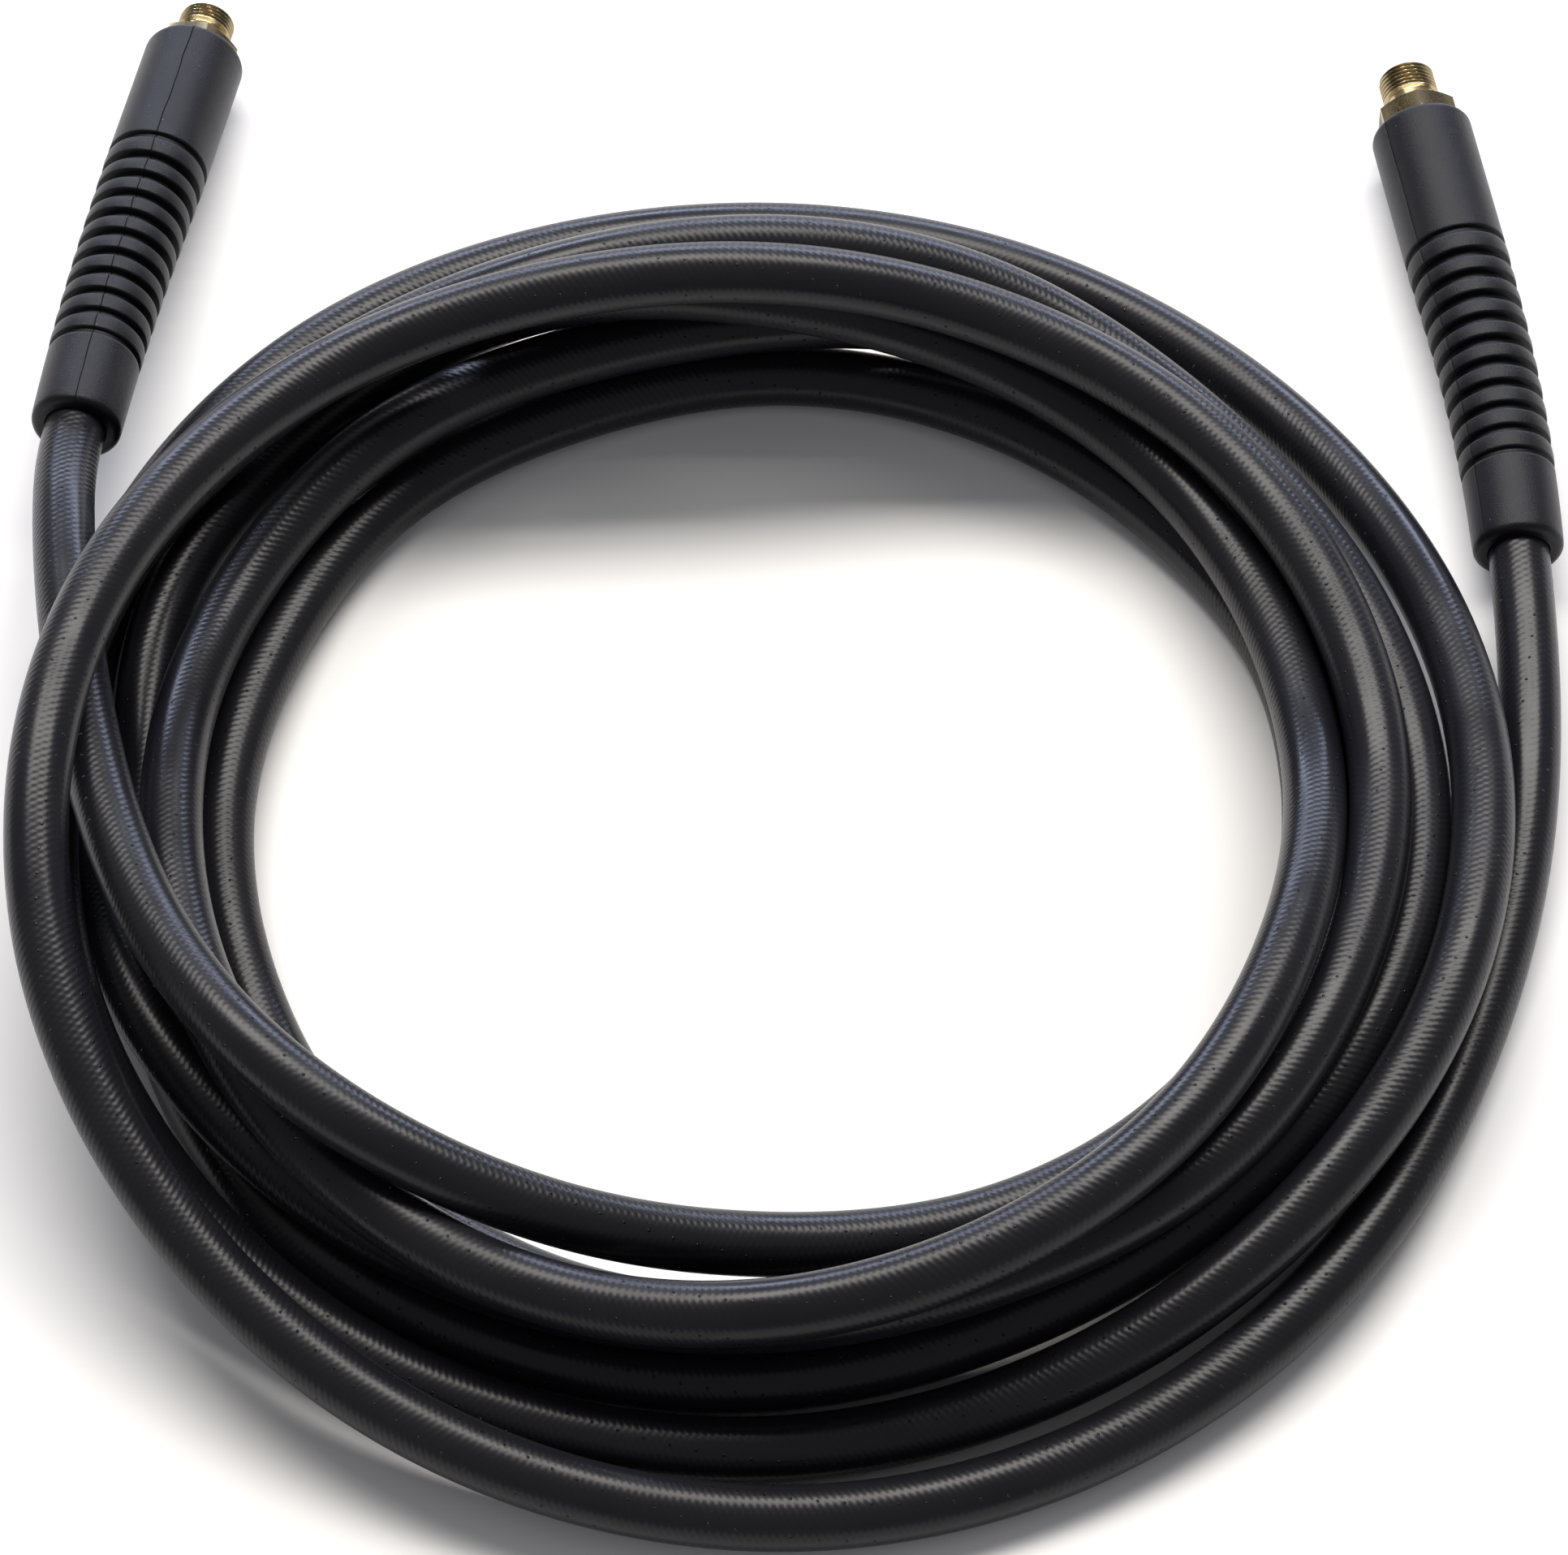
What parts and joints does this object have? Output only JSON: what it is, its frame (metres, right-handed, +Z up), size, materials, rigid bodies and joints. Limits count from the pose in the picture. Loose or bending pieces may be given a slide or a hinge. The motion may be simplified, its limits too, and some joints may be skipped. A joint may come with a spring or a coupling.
{
  "type": "coiled high-pressure hose with threaded end fittings",
  "caption": "Loosely coiled high-pressure wash hose with ribbed bend protectors and male pipe-thread fittings at both ends.",
  "frame": {"origin": "centre of the bounding box's bottom face, on the floor that the coil lies on", "axes": "+Z up, +Y towards the side where both threaded ends lie, +X to the right seen from the open front of the coil"},
  "size_m": [0.4366, 0.5102, 0.0813],
  "materials": {
    "hose_rubber": "satin black synthetic rubber with a faint cloth-wrap imprint and rows of tiny vent pricks",
    "grip_rubber": "matte black moulded rubber with a fine grain and a parting line",
    "plated_steel": "yellow-passivated zinc plate on turned steel"
  },
  "bodies": {
    "root": {"hose": "hose_rubber", "grip_left": "grip_rubber", "grip_right": "grip_rubber", "fitting_left": "plated_steel", "fitting_right": "plated_steel"}
  },
  "joints": []
}
